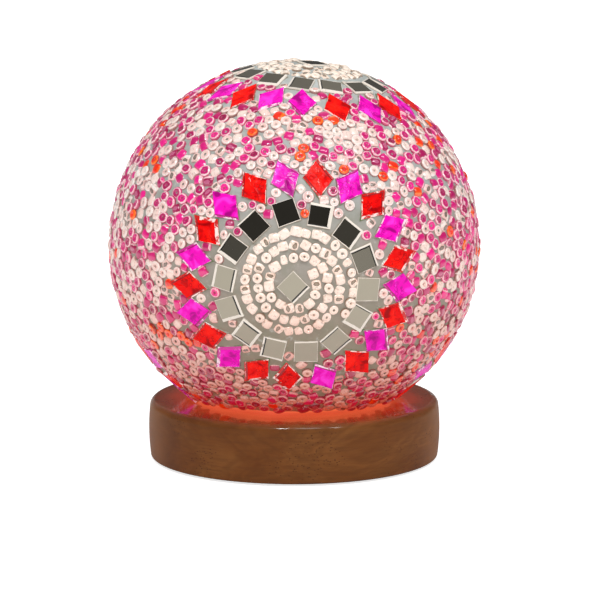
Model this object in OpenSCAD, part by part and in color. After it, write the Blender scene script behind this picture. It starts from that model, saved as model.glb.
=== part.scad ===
// Mosaic glass table lamp: a frosted glass globe covered with seed beads, mirror
// squares and foil-backed glass diamonds, standing on a turned wooden base that
// holds the lampholder and the bulb.
// The origin is the middle of the surface the lamp stands on, +Z is up and the
// front faces -Y. All sizes are in millimetres.

/* [Globe] */
// Outer diameter of the glass globe
globe_d = 160; // [156:1:164]
// Thickness of the glass
glass_t = 2.5; // [2:0.1:3]
// Height of the globe's centre above the top of the base
globe_rise = 69.7; // [69.5:0.1:70]
// Diameter of the globe's open mouth
mouth_d = 54; // [50:1:54]
// Thickness of the glue that the mosaic is set in
glue_t = 0.55; // [0.3:0.05:0.6]

/* [Mosaic] */
// Outer diameter of a seed bead
bead_d = 4.6; // [4:0.1:4.6]
// Length of a seed bead
bead_h = 3; // [2:0.1:3.4]
// Diameter of the hole in a bead
bead_hole = 1.2; // [0.8:0.1:1.6]
// Bead places on a whole sphere, before the medallions are left out
bead_places = 2800; // [1000:100:2800]
// Lowest latitude that the beads reach, in degrees
bead_floor = -54; // [-55:1:-45]
// Side of a mirror square
mirror_side = 10; // [8:0.5:10]
// Mirror squares in the ring of a medallion
mirror_count = 14; // [10:1:14]
// Length of a glass diamond
diamond_l = 18; // [15:0.5:18]
// Width of a glass diamond
diamond_w = 12.6; // [9:0.2:12.6]
// Thickness of the mirror squares and the diamonds
tile_t = 2.5; // [1.5:0.1:2.5]

/* [Base] */
// Diameter of the wooden base
base_d = 132; // [130:1:140]
// Height of the base's top above the surface it stands on
base_top = 27.3; // [27:0.1:28]
// Radius of the base's rounded top edge
top_round = 3; // [1:0.5:4]
// Diameter of the seat that the globe stands in, at its floor
seat_d = 62; // [62:0.5:63]
// Diameter of the wiring pocket under the base
pocket_d = 84; // [80:1:86]
// Diameter of the cover plate
cover_d = 100; // [98:1:102]

/* [Lampholder and bulb] */
// Outer diameter of the lampholder
holder_d = 28; // [27:0.5:29]
// Diameter of the threaded tube that clamps the lampholder
nipple_d = 10; // [9:0.5:10]
// Diameter of the bulb
bulb_d = 45; // [40:1:45]
// Diameter of the bulb's screw cap
bulb_cap_d = 13.8; // [13.4:0.1:13.9]

/* [Hidden] */
fine = 96;
cut = 0.5;              // how far a cutting tool runs past the face it opens
slip = 0.2;             // room around a piece that slides into its hole

// Globe
globe_r = globe_d / 2;
glue_gap = 0.05;        // between the glass and the glue
globe_z = base_top + globe_rise;
set_r = globe_r + 0.65; // where the underside of every bead and tile lies
seat_depth = 4.3;
seat_z = base_top - seat_depth;
seat_slope = 2.1;       // the seat's wall opens this much for each mm of height

// Mosaic
golden = 180 * (3 - sqrt(5));
// A medallion: longitude from the front, latitude, how far its mirror ring and its
// ring of diamonds are turned, and whether its two colours are swapped
FRONT = [0.7, -3.5, 8, 0, false];
TOP = [76.1, 84.2, 42, 284, true];
LEFT = [-128, -2, 40, 96, false];
RIGHT = [128, -2, 75, 30, true];
MEDALLIONS = [FRONT, TOP, LEFT, RIGHT];
ROSETTES = [[-75, -40.8, 10], [75, -40.8, 25], [180, -40.8, 0]];   // longitude, latitude, turn
rosette_count = 6;
rosette_polar = 9;
mirror_polar = 21.9;    // angle from a medallion's middle to its mirror ring
diamond_polar = 33;     // and to its ring of diamonds
diamond_count = 21;
middle_clock = 240;     // the middle mirror sits a little off the middle, this way
middle_polar = 1;       // and this far
medallion_polar = 41.7; // beads start outside this angle
rosette_clear = 17.5;
spiral_start = 9.8;     // first bead's distance from the medallion's middle
spiral_end = 23.4;
spiral_row = 4.95;
spiral_step = 4.75;
// Hand setting: how far each piece sits off its regular place, in degrees
mirror_shift = [0, 2, 2, 1, 1, 0, 0, 0, 1, 0, -1, -1, -2, -2];
mirror_turn = [-12, -9, -6, 0, 0, 4, -9, 9, -7, -9, 0, 8, 5, -9];
diamond_shift = [2, 2, 1, 0, 0, -1, -2, -2.5, -3, 0, 3, 4, 4, 3, 1, -1, -2, -2, -2, 0, 1];
diamond_out = [0, 1, 1, 1, 0, 0, 0, -0.7, 0, 0, -1, -1, 0, 0, 1, 1, 0, -1, -0.8, -1, -0.6];
diamond_turn = [-12, 1, -2, 6, -4, 10, 8, 5, -4, -12, -7, 15, 3, 15, 8, 6, -5, 14, -3, -12, -15];

// Base
base_r = base_d / 2;
foot_h = 2.2;
foot_r = 5;
base_z = 1;             // underside of the wood, so the feet stand 1 mm proud
foot_ring_r = base_r - 9.3;
bottom_round = 1;
side_round = 96;        // the side bulges a little, as an arc of this radius
pocket_r = pocket_d / 2;
pocket_top = seat_z - 7;
cover_t = 2;
cover_r = cover_d / 2;
cover_screw_ring = (pocket_r + cover_r) / 2;
cover_angles = [30, 150, 270];
cover_screw_r = 1.3;
cover_screw_l = 10;
cover_head_r = 3.1;
cover_head_h = 1.6;
cord_z = 9;
cord_hole_r = 4.1;
bushing_bore_r = 2.8;
spot_r = 6.5;
spot_y = base_r - 2.5;  // depth of the flat for the bushing's flange

// Lampholder
nipple_r = nipple_d / 2;
nipple_bore_r = 3.5;
nipple_bottom = 9;
nipple_top = seat_z + 8;
holder_r = holder_d / 2;
holder_wall = 2;
cap_h = 16;
split_z = seat_z + cap_h;      // where the holder's cap meets its shell
holder_top = split_z + 27;
insert_z = split_z - 1;
terminal_x = 5.5;
terminal_top = insert_z;
terminal_h = 4;
block_y = 24;
block_x = 4;
block_bottom = pocket_top - 11;
block_screw_r = 1.1;
clamp_y = 3.6;          // clamp screws sit this far either side of the block's middle
insert_axis_z = 10;
contact_top = insert_z + 7;
opening_r = 8;          // opening in the holder's shell
thread_r = 7.7;         // outside of the screw shell
thread_t = 0.55;

// Bulb
bulb_cap_r = bulb_cap_d / 2;
tip_z = contact_top + 0.15;
bulb_cap_z = tip_z + 2.2;
bulb_cap_h = 17;
housing_z = bulb_cap_z + bulb_cap_h;
bulb_r = bulb_d / 2;
housing_r = bulb_r - 5;
neck_r = 7.6;           // the housing's lower end, over the cap
neck_h = 3;
envelope_z = tip_z + 53;
board_z = envelope_z - sqrt(bulb_r * bulb_r - housing_r * housing_r);

// Turns a piece that stands on the globe's pole to a longitude from the front and
// a latitude, with its clock angles counted from the north, clockwise from outside
module aim(place) {
    rotate([0, 0, place[0] - 90])
        rotate([0, 90 - place[1], 0])
            rotate([0, 0, 180])
                children();
}

// Puts a piece on the glass, turned polar degrees off the pole at a clock angle
module set_on_globe(place, clock, polar, turn = 0) {
    translate([0, 0, globe_z])
        aim(place)
            rotate([0, 0, -clock])
                rotate([0, polar, 0])
                    translate([0, 0, set_r])
                        rotate([0, 0, -turn])
                            children();
}

module bead() {
    difference() {
        cylinder(d = bead_d, h = bead_h, $fn = 24);
        translate([0, 0, -cut]) cylinder(d = bead_hole, h = bead_h + 2 * cut, $fn = 24);
    }
}

module mirror_square() {
    translate([-mirror_side / 2, -mirror_side / 2, 0])
        cube([mirror_side, mirror_side, tile_t]);
}

module glass_diamond() {
    half_l = diamond_l / 2;
    half_w = diamond_w / 2;
    linear_extrude(tile_t)
        polygon([[half_l, 0], [0, half_w], [-half_l, 0], [0, -half_w]]);
}

module mirror_ring(place) {
    color("gainsboro") {
        set_on_globe(place, middle_clock, middle_polar, 45 - middle_clock) mirror_square();
        for (i = [0:mirror_count - 1])
            set_on_globe(place, i * 360 / mirror_count + mirror_shift[i] - place[2],
                         mirror_polar, mirror_turn[i])
                mirror_square();
    }
}

// The diamonds alternate, except that the two at the bottom are both red
function is_red(i) = (i % 2 == 0) == (i <= 10);

module diamond_ring(place, red) {
    color(red ? "red" : "magenta")
        for (i = [0:diamond_count - 1])
            if (is_red(i) == (red != place[4]))
                set_on_globe(place, (i + 0.6) * 360 / diamond_count + diamond_shift[i] - place[3],
                             diamond_polar + diamond_out[i], diamond_turn[i])
                    glass_diamond();
}

// Distance along an even spiral, turned into its radius
function spiral_radius(k) = sqrt(pow(spiral_start, 2) + spiral_row * spiral_step * k / PI);
spiral_beads = floor((pow(spiral_end, 2) - pow(spiral_start, 2)) * PI / (spiral_row * spiral_step));

module bead_spiral(place) {
    color("ivory")
        for (k = [0:spiral_beads]) {
            r = spiral_radius(k);
            set_on_globe(place, r * 360 / spiral_row, asin(r / (set_r + bead_h / 2)))
                bead();
        }
}

module rosette_ring(place, red) {
    for (i = [0:rosette_count - 1])
        if ((i % 2 == 0) == red)
            set_on_globe(place, i * 360 / rosette_count - place[2], rosette_polar) glass_diamond();
}

// Field beads: places on a golden-angle lattice, outside the medallions
function unit(lon, lat) = [sin(lon) * cos(lat), -cos(lon) * cos(lat), sin(lat)];
function lattice_lat(i) = asin(1 - (2 * i + 1) / bead_places);
function lattice_lon(i) = (i * golden) % 360;
function clear_of(p, places, angle) =
    len([for (q = places) if (p * unit(q[0], q[1]) > cos(angle)) 1]) == 0;
function is_field(i) =
    let (p = unit(lattice_lon(i), lattice_lat(i)))
        lattice_lat(i) > bead_floor
        && clear_of(p, MEDALLIONS, medallion_polar)
        && clear_of(p, ROSETTES, rosette_clear);
FIELD = [for (i = [0:bead_places - 1]) if (is_field(i)) i];
// A bead's colour goes by its place in the list: 0 white, 1 pink, 2 orange
function bead_colour(k) = k % 17 == 5 ? 2 : (k * 7) % 23 < 7 ? 1 : 0;

module field_beads(colour, name) {
    color(name)
        for (k = [0:len(FIELD) - 1])
            if (bead_colour(k) == colour)
                set_on_globe([lattice_lon(FIELD[k]), lattice_lat(FIELD[k])], 0, 0) bead();
}

// Base

// A rounded edge of radius r whose centre lies h from the middle of the side: how far
// out its centre is, and how far from the middle it runs into the side's arc
function edge_x(r, h) = base_r - side_round + sqrt(pow(side_round - r, 2) - h * h);
function edge_h(r, h) = h * side_round / (side_round - r);

module base_outline() {
    half = (base_top - base_z) / 2;
    top_h = half - top_round;
    bottom_h = half - bottom_round;
    translate([0, base_z + half]) {
        intersection() {
            translate([0, -edge_h(bottom_round, bottom_h)])
                square([base_r, edge_h(bottom_round, bottom_h) + edge_h(top_round, top_h)]);
            translate([base_r - side_round, 0]) circle(r = side_round, $fn = fine);
        }
        translate([0, -half]) square([edge_x(top_round, top_h), 2 * half]);
        translate([0, -half]) square([edge_x(bottom_round, bottom_h), 2 * bottom_round]);
        translate([edge_x(top_round, top_h), top_h]) circle(r = top_round, $fn = fine);
        translate([edge_x(bottom_round, bottom_h), -bottom_h])
            circle(r = bottom_round, $fn = fine);
    }
}

module wood_base() {
    color("saddlebrown")
        difference() {
            rotate_extrude($fn = fine) base_outline();
            translate([0, 0, seat_z])
                cylinder(h = seat_depth + cut, r1 = seat_d / 2,
                         r2 = seat_d / 2 + seat_slope * (seat_depth + cut), $fn = fine);
            translate([0, 0, base_z - cut])
                cylinder(r = pocket_r, h = pocket_top - base_z + cut, $fn = fine);
            translate([0, 0, base_z - cut])
                cylinder(r = cover_r + slip, h = cover_t + cut, $fn = fine);
            cylinder(r = nipple_r + slip, h = base_top, $fn = fine);
            for (a = cover_angles)
                rotate([0, 0, a]) translate([cover_screw_ring, 0, base_z])
                    cylinder(r = cover_screw_r + 0.05, h = cover_screw_l + 1, $fn = 24);
            translate([0, block_y, pocket_top - cut])
                cylinder(r = block_screw_r + 0.05, h = 5 + cut, $fn = 24);
            for (a = [45:90:315])
                rotate([0, 0, a]) translate([foot_ring_r, 0, base_z - cut])
                    cylinder(r = foot_r + slip, h = foot_h - base_z + cut, $fn = 48);
            translate([0, pocket_r - 2, cord_z]) rotate([-90, 0, 0])
                cylinder(r = cord_hole_r, h = base_r, $fn = 48);
            translate([0, spot_y, cord_z]) rotate([-90, 0, 0])
                cylinder(r = spot_r, h = 10, $fn = 48);
        }
}

module rubber_feet() {
    edge = 0.6;
    color("dimgray")
        for (a = [45:90:315])
            rotate([0, 0, a]) translate([foot_ring_r, 0, 0]) {
                cylinder(r1 = foot_r - edge, r2 = foot_r, h = edge, $fn = 48);
                translate([0, 0, edge]) cylinder(r = foot_r, h = foot_h - edge, $fn = 48);
            }
}

module cover_plate() {
    color("dimgray")
        difference() {
            translate([0, 0, base_z]) cylinder(r = cover_r, h = cover_t, $fn = fine);
            for (a = cover_angles)
                rotate([0, 0, a]) translate([cover_screw_ring, 0, base_z]) {
                    translate([0, 0, -cut])
                        cylinder(r = cover_screw_r + 0.3, h = cover_t + 2 * cut, $fn = 24);
                    translate([0, 0, -0.01])
                        cylinder(r1 = cover_head_r + slip, r2 = cover_screw_r + 0.3,
                                 h = cover_head_h, $fn = 24);
                }
        }
}

module cover_screws() {
    color("silver")
        for (a = cover_angles)
            rotate([0, 0, a]) translate([cover_screw_ring, 0, base_z + 0.1])
                difference() {
                    union() {
                        cylinder(r1 = cover_head_r, r2 = cover_screw_r, h = cover_head_h, $fn = 24);
                        cylinder(r = cover_screw_r, h = cover_screw_l, $fn = 24);
                    }
                    translate([-2, -0.35, -cut]) cube([4, 0.7, 0.7 + cut]);
                    translate([-0.35, -2, -cut]) cube([0.7, 4, 0.7 + cut]);
                }
}

module cord_bushing() {
    color("dimgray")
        translate([0, 0, cord_z]) rotate([-90, 0, 0])
            difference() {
                union() {
                    translate([0, 0, pocket_r - 1])
                        cylinder(r = cord_hole_r - 0.1, h = spot_y - pocket_r + 1, $fn = 48);
                    translate([0, 0, spot_y]) cylinder(r = 6, h = 1.5, $fn = 48);
                }
                translate([0, 0, pocket_r - 2])
                    cylinder(r = bushing_bore_r, h = base_r - pocket_r + 2, $fn = 48);
            }
}

module threaded_nipple() {
    color("silver")
        translate([0, 0, nipple_bottom])
            difference() {
                cylinder(r = nipple_r, h = nipple_top - nipple_bottom, $fn = fine);
                translate([0, 0, -cut])
                    cylinder(r = nipple_bore_r, h = nipple_top - nipple_bottom + 2 * cut, $fn = fine);
            }
}

module nipple_washer() {
    color("silver")
        translate([0, 0, pocket_top - 1.2])
            difference() {
                cylinder(r = 10, h = 1.2, $fn = fine);
                translate([0, 0, -cut]) cylinder(r = nipple_r + slip, h = 3, $fn = fine);
            }
}

module nipple_nut() {
    across_flats = 14;
    color("silver")
        translate([0, 0, pocket_top - 6.2])
            difference() {
                cylinder(r = across_flats / 2 / cos(30), h = 5, $fn = 6);
                translate([0, 0, -cut]) cylinder(r = nipple_r + 0.05, h = 6, $fn = fine);
            }
}

module terminal_block() {
    color("whitesmoke")
        difference() {
            translate([-8.5, block_y - 7, block_bottom]) cube([17, 14, pocket_top - block_bottom]);
            for (x = [-block_x, block_x]) {
                translate([x - 1.8, block_y - 7 - cut, insert_axis_z - 1.8])
                    cube([3.6, 14 + 2 * cut, 3.6]);
                for (y = [-clamp_y, clamp_y])
                    translate([x, block_y + y, block_bottom - cut])
                        cylinder(r = 1.5, h = 5, $fn = 24);
            }
            translate([0, block_y, block_bottom - cut]) {
                cylinder(r = block_screw_r + slip, h = 12, $fn = 24);
                cylinder(r = 1.95, h = 3, $fn = 24);
            }
        }
}

module terminal_inserts() {
    color("gold")
        for (x = [-block_x, block_x])
            difference() {
                translate([x - 1.75, block_y - 6.5, insert_axis_z - 1.75]) cube([3.5, 13, 3.5]);
                translate([x, block_y - 7, insert_axis_z]) rotate([-90, 0, 0])
                    cylinder(r = 1.25, h = 14, $fn = 24);
                for (y = [-clamp_y, clamp_y])
                    translate([x, block_y + y, insert_axis_z - 3]) cylinder(r = 1, h = 3, $fn = 24);
            }
}

module clamp_screws() {
    color("silver")
        for (x = [-block_x, block_x], y = [-clamp_y, clamp_y])
            translate([x, block_y + y, block_bottom + 0.5])
                difference() {
                    cylinder(r = 0.95, h = 3.2, $fn = 24);
                    translate([-1, -0.2, -cut]) cube([2, 0.4, 0.6 + cut]);
                }
}

module block_screw() {
    color("silver")
        translate([0, block_y, block_bottom + 1])
            difference() {
                union() {
                    cylinder(r = 1.9, h = 1.4, $fn = 24);
                    cylinder(r = block_screw_r, h = 14, $fn = 24);
                }
                translate([-2, -0.3, -cut]) cube([4, 0.6, 0.6 + cut]);
            }
}

// Wires: a round tube swept along rounded corners between a few set points
wire_r = 1.1;
WIRE_ROUTE = [
    [block_x, block_y - 2, insert_axis_z], [block_x, block_y - 8, insert_axis_z],
    [3.2, 10, 8.2], [1.6, 4, 5.4], [1.3, 0.9, 6.4], [1.25, 0, 9], [1.25, 0, 14],
    [1.25, 0, nipple_top - 3], [1.6, 0, nipple_top - 0.6], [3.2, 0, nipple_top + 1.2],
    [5, 0, nipple_top + 2], [terminal_x, 0, nipple_top + 3.6],
    [terminal_x, 0, terminal_top - 1]
];
function tangent(p, i) =
    let (d = p[min(i + 1, len(p) - 1)] - p[max(i - 1, 0)]) d / norm(d);
// A tube along points that keeps near the plane x = constant, so one fixed side works
function tube_ring(p, t, r, sides) =
    let (u0 = cross(t, [0.3, 0, 0.1] + cross(t, [1, 0, 0])), u = u0 / norm(u0), v = cross(t, u))
        [for (k = [0:sides - 1]) p + r * (cos(360 * k / sides) * u + sin(360 * k / sides) * v)];

module wire(side) {
    route = [for (p = WIRE_ROUTE) [side * p[0], p[1], p[2]]];
    sides = 8;
    n = len(route);
    rings = [for (i = [0:n - 1]) tube_ring(route[i], tangent(route, i), wire_r, sides)];
    points = [for (ring = rings) for (p = ring) p];
    walls = [for (i = [0:n - 2]) for (k = [0:sides - 1])
        let (a = i * sides + k, b = i * sides + (k + 1) % sides) [a, b, b + sides, a + sides]];
    polyhedron(points, concat(walls, [[for (k = [sides - 1:-1:0]) k]],
                              [[for (k = [0:sides - 1]) (n - 1) * sides + k]]));
}

module wire_live() {
    color("saddlebrown") wire(1);
}

module wire_neutral() {
    color("steelblue") wire(-1);
}

// Lampholder

module holder_cap() {
    color("whitesmoke")
        difference() {
            union() {
                translate([0, 0, seat_z]) cylinder(r = holder_r, h = cap_h, $fn = fine);
                translate([0, 0, split_z])
                    cylinder(r = holder_r - holder_wall - 0.1, h = 5, $fn = fine);
            }
            translate([0, 0, seat_z - cut])
                cylinder(r = nipple_r + 0.05, h = 3, $fn = fine);
            translate([0, 0, seat_z + 2]) cylinder(r = 9.2, h = cap_h, $fn = fine);
            translate([0, 0, insert_z]) cylinder(r = 10.2, h = cap_h, $fn = fine);
        }
}

module holder_insert() {
    color("white")
        difference() {
            translate([0, 0, insert_z]) {
                cylinder(r = 10.1, h = 5, $fn = fine);
                cylinder(r = 9.4, h = 24, $fn = fine);
            }
            translate([0, 0, insert_z + 5]) cylinder(r = thread_r + 0.1, h = 24, $fn = fine);
            translate([0, 0, insert_z - cut]) cylinder(r = 1.25, h = 6, $fn = 48);
        }
}

module holder_shell() {
    inner_r = holder_r - holder_wall;
    color("whitesmoke")
        difference() {
            translate([0, 0, split_z]) cylinder(r = holder_r, h = holder_top - split_z, $fn = fine);
            translate([0, 0, split_z - cut])
                cylinder(r = inner_r, h = holder_top - split_z - holder_wall + cut, $fn = fine);
            translate([0, 0, split_z]) cylinder(r = opening_r, h = 30, $fn = fine);
        }
}

module screw_shell() {
    color("gold")
        translate([0, 0, insert_z + 6])
            difference() {
                cylinder(r = thread_r, h = 17, $fn = fine);
                translate([0, 0, -cut]) cylinder(r = thread_r - thread_t, h = 18, $fn = fine);
            }
}

module centre_contact() {
    color("gold")
        translate([0, 0, insert_z]) {
            translate([0, 0, -1]) cylinder(r = 1.2, h = 7, $fn = 48);
            translate([0, 0, 5]) cylinder(r = 3, h = 0.8, $fn = 48);
            translate([0, 0, 5.8]) cylinder(r1 = 2.4, r2 = 1.4, h = contact_top - insert_z - 5.8, $fn = 48);
        }
}

module holder_terminals() {
    color("gold")
        for (side = [-1, 1])
            translate([side * terminal_x, 0, terminal_top - terminal_h])
                difference() {
                    translate([-2.3, -2.3, 0]) cube([4.6, 4.6, terminal_h]);
                    translate([0, 0, -cut]) cylinder(r = 1.2, h = 3.2 + cut, $fn = 24);
                    translate([0, -3, 1.6]) rotate([-90, 0, 0]) cylinder(r = 1, h = 3, $fn = 24);
                }
}

module holder_terminal_screws() {
    color("silver")
        for (side = [-1, 1])
            translate([side * terminal_x, -4, terminal_top - terminal_h + 1.6])
                rotate([-90, 0, 0])
                    difference() {
                        union() {
                            cylinder(r = 1.5, h = 1.5, $fn = 24);
                            cylinder(r = 0.95, h = 2.7, $fn = 24);
                        }
                        translate([-2, -0.25, -cut]) cube([4, 0.5, 0.6 + cut]);
                    }
}

// Bulb

module bulb_tip_contact() {
    color("silver")
        translate([0, 0, tip_z]) {
            cylinder(r1 = 1.4, r2 = 2.4, h = 0.6, $fn = 48);
            translate([0, 0, 0.6]) cylinder(r = 2.4, h = 0.4, $fn = 48);
        }
}

module bulb_insulator() {
    color("black")
        translate([0, 0, tip_z + 1]) cylinder(r1 = 3.2, r2 = 5.6, h = 1.1, $fn = 48);
}

module bulb_cap() {
    color("silver")
        translate([0, 0, bulb_cap_z])
            difference() {
                cylinder(r = bulb_cap_r, h = bulb_cap_h, $fn = fine);
                translate([0, 0, 1]) cylinder(r = bulb_cap_r - 0.5, h = bulb_cap_h, $fn = fine);
            }
}

module bulb_housing() {
    wall = 1.2;
    color("white")
        translate([0, 0, housing_z])
            difference() {
                union() {
                    cylinder(r = neck_r, h = neck_h, $fn = fine);
                    translate([0, 0, neck_h])
                        cylinder(r1 = neck_r, r2 = housing_r, h = board_z - housing_z - neck_h, $fn = fine);
                }
                translate([0, 0, -cut]) cylinder(r = neck_r - wall, h = neck_h + 2 * cut, $fn = fine);
                translate([0, 0, neck_h])
                    cylinder(r1 = neck_r - wall, r2 = housing_r - wall,
                             h = board_z - housing_z - neck_h + 0.01, $fn = fine);
            }
}

module bulb_envelope() {
    color("white")
        difference() {
            translate([0, 0, envelope_z]) sphere(r = bulb_r, $fn = fine);
            translate([0, 0, envelope_z]) sphere(r = bulb_r - 1, $fn = fine);
            translate([-bulb_r, -bulb_r, board_z - bulb_r]) cube([bulb_d, bulb_d, bulb_r]);
        }
}

module led_board() {
    color("gainsboro")
        translate([0, 0, board_z + 0.2]) cylinder(r = housing_r - 1.6, h = 1.4, $fn = fine);
}

module led_chips() {
    chip = 2.8;
    color("khaki")
        for (a = [0:45:315])
            rotate([0, 0, a])
                translate([10 - chip / 2, -chip / 2, board_z + 1.6]) cube([chip, chip, 0.7]);
}

// Globe

module globe_glass() {
    color("lightgray")
        difference() {
            translate([0, 0, globe_z]) sphere(r = globe_r, $fn = 144);
            translate([0, 0, globe_z]) sphere(r = globe_r - glass_t, $fn = 144);
            translate([-globe_r, -globe_r, seat_z - globe_d]) cube([globe_d, globe_d, globe_d]);
            translate([0, 0, seat_z - 2]) cylinder(d = mouth_d, h = 8, $fn = fine);
        }
}

module glue_coat() {
    glue_bottom = globe_z + (set_r + 1) * sin(bead_floor - 2);
    color("darkgray")
        difference() {
            translate([0, 0, globe_z]) sphere(r = globe_r + glue_gap + glue_t, $fn = 144);
            translate([0, 0, globe_z]) sphere(r = globe_r + glue_gap, $fn = 144);
            translate([-100, -100, glue_bottom - 200]) cube([200, 200, 200]);
        }
}

module front_mirrors() mirror_ring(FRONT);
module front_red_diamonds() diamond_ring(FRONT, true);
module front_magenta_diamonds() diamond_ring(FRONT, false);
module front_bead_spiral() bead_spiral(FRONT);
module top_mirrors() mirror_ring(TOP);
module top_red_diamonds() diamond_ring(TOP, true);
module top_magenta_diamonds() diamond_ring(TOP, false);
module top_bead_spiral() bead_spiral(TOP);
module left_mirrors() mirror_ring(LEFT);
module left_red_diamonds() diamond_ring(LEFT, true);
module left_magenta_diamonds() diamond_ring(LEFT, false);
module left_bead_spiral() bead_spiral(LEFT);
module right_mirrors() mirror_ring(RIGHT);
module right_red_diamonds() diamond_ring(RIGHT, true);
module right_magenta_diamonds() diamond_ring(RIGHT, false);
module right_bead_spiral() bead_spiral(RIGHT);
module rosette_red_diamonds() color("red") for (place = ROSETTES) rosette_ring(place, true);
module rosette_magenta_diamonds() color("magenta") for (place = ROSETTES) rosette_ring(place, false);
module white_beads() field_beads(0, "ivory");
module pink_beads() field_beads(1, "hotpink");
module orange_beads() field_beads(2, "orangered");

wood_base();
rubber_feet();
cover_plate();
cover_screws();
cord_bushing();
threaded_nipple();
nipple_washer();
nipple_nut();
terminal_block();
terminal_inserts();
clamp_screws();
block_screw();
wire_live();
wire_neutral();
holder_cap();
holder_insert();
holder_shell();
screw_shell();
centre_contact();
holder_terminals();
holder_terminal_screws();
bulb_insulator();
bulb_tip_contact();
bulb_cap();
bulb_housing();
bulb_envelope();
led_board();
led_chips();
globe_glass();
glue_coat();
front_mirrors();
front_red_diamonds();
front_magenta_diamonds();
front_bead_spiral();
top_mirrors();
top_red_diamonds();
top_magenta_diamonds();
top_bead_spiral();
left_mirrors();
left_red_diamonds();
left_magenta_diamonds();
left_bead_spiral();
right_mirrors();
right_red_diamonds();
right_magenta_diamonds();
right_bead_spiral();
rosette_red_diamonds();
rosette_magenta_diamonds();
white_beads();
pink_beads();
orange_beads();
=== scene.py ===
import math

import bpy
import numpy as np
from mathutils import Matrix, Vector


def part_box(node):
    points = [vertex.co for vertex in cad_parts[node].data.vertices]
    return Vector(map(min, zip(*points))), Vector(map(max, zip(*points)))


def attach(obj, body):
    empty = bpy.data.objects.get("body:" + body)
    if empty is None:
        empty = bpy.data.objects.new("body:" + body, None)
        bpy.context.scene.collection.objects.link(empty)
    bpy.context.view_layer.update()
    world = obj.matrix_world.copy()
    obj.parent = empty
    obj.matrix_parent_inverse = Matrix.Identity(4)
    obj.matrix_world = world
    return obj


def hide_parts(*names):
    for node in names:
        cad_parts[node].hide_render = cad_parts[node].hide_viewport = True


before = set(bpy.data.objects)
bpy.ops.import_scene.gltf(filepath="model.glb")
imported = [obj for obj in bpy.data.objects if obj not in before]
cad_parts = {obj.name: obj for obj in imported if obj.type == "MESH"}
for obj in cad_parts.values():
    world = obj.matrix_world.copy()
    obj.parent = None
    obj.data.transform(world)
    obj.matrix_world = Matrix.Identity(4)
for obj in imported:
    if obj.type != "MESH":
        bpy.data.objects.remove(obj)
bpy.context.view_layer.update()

MM = 0.001
WELD = 0.01 * MM                          # corners of a CAD mesh this close are the same one
SLANTED = 0.05                            # a cross product shorter than this gives no direction
rng = np.random.default_rng(20)

# ---------------------------------------------------------------- places from the frame

glass_lo, glass_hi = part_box("globe_glass")
GLOBE_R = round((glass_hi.x - glass_lo.x) / 2, 3)
GLOBE = Vector((0, 0, glass_hi.z - GLOBE_R))
CENTRE = np.array(GLOBE)
SET_R = GLOBE_R + 0.65 * MM               # where the undersides of beads and tiles lie
GROUT_R = SET_R + 1.7 * MM                # the face of the grout between them
BEAD_TOP_R = SET_R + 2.8 * MM             # the tops of the beads, before they're made uneven
_, BASE_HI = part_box("wood_base")
BASE_TOP = BASE_HI.z
BASE_R = BASE_HI.x
GLOBE_HIGH = GLOBE.z + GLOBE_R

MEDALLIONS = ("front", "top", "left", "right")


def islands(node):
    """The separate solids of a CAD node, each as an array of its corner points."""
    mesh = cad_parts[node].data
    co = np.empty(len(mesh.vertices) * 3)
    mesh.vertices.foreach_get("co", co)
    co = co.reshape(-1, 3)
    keys = {}
    cells = np.round(co / WELD).astype(int)
    merged = [keys.setdefault(tuple(cell), len(keys)) for cell in cells]
    parent = list(range(len(keys)))

    def find(i):
        while parent[i] != i:
            parent[i] = parent[parent[i]]
            i = parent[i]
        return i

    for face in mesh.polygons:
        first = find(merged[face.vertices[0]])
        for v in face.vertices[1:]:
            parent[find(merged[v])] = first
    groups = {}
    seen = set()
    for v, m in enumerate(merged):
        if m not in seen:
            seen.add(m)
            groups.setdefault(find(m), []).append(co[v])
    return [np.array(g) for g in groups.values()]


def unit(v):
    """A vector, or each row of an array, made one long."""
    return v / np.linalg.norm(v, axis=-1, keepdims=True)


def tangents(out):
    """Two directions along the glass at a place, square to each other and to outwards."""
    first = np.cross(out, [0.0, 0.0, 1.0])
    first = unit(first) if np.linalg.norm(first) > SLANTED else np.array([1.0, 0, 0])
    return first, np.cross(out, first)


class Tile:
    """A flat tile on the globe: o is the middle of its underside, n its outward normal, t its
    thickness, u and v two directions across it, and outline its corners along those."""

    def __init__(self, corners):
        r = np.linalg.norm(corners - CENTRE, axis=1)
        low = corners[np.argsort(r)[:4]]
        high = corners[np.argsort(r)[4:8]]
        self.n = unit(high.mean(0) - low.mean(0))
        self.t = float((high.mean(0) - low.mean(0)) @ self.n)
        self.o = low.mean(0)
        far = low[np.argmax(np.linalg.norm(low - self.o, axis=1))] - self.o
        self.u = unit(far - (far @ self.n) * self.n)
        self.v = np.cross(self.n, self.u)
        flat = np.stack([(low - self.o) @ self.u, (low - self.o) @ self.v], 1)
        self.outline = flat[np.argsort(np.arctan2(flat[:, 1], flat[:, 0]))]

    def world(self, x, y, z):
        """Points across the tile and above its underside, in the frame's coordinates."""
        return self.o + np.outer(x, self.u) + np.outer(y, self.v) + np.outer(z, self.n)


# ---------------------------------------------------------------- materials

def linear(r, g, b):
    """A colour as it is read off a screen, turned into scene-linear values."""
    def one(c):
        c = c / 255
        return c / 12.92 if c <= 0.04045 else ((c + 0.055) / 1.055) ** 2.4
    return (one(r), one(g), one(b), 1.0)


def grey(level):
    """A level as a colour. The output of a node stays as it is."""
    return level if isinstance(level, bpy.types.NodeSocket) else (level, level, level, 1.0)


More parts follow.
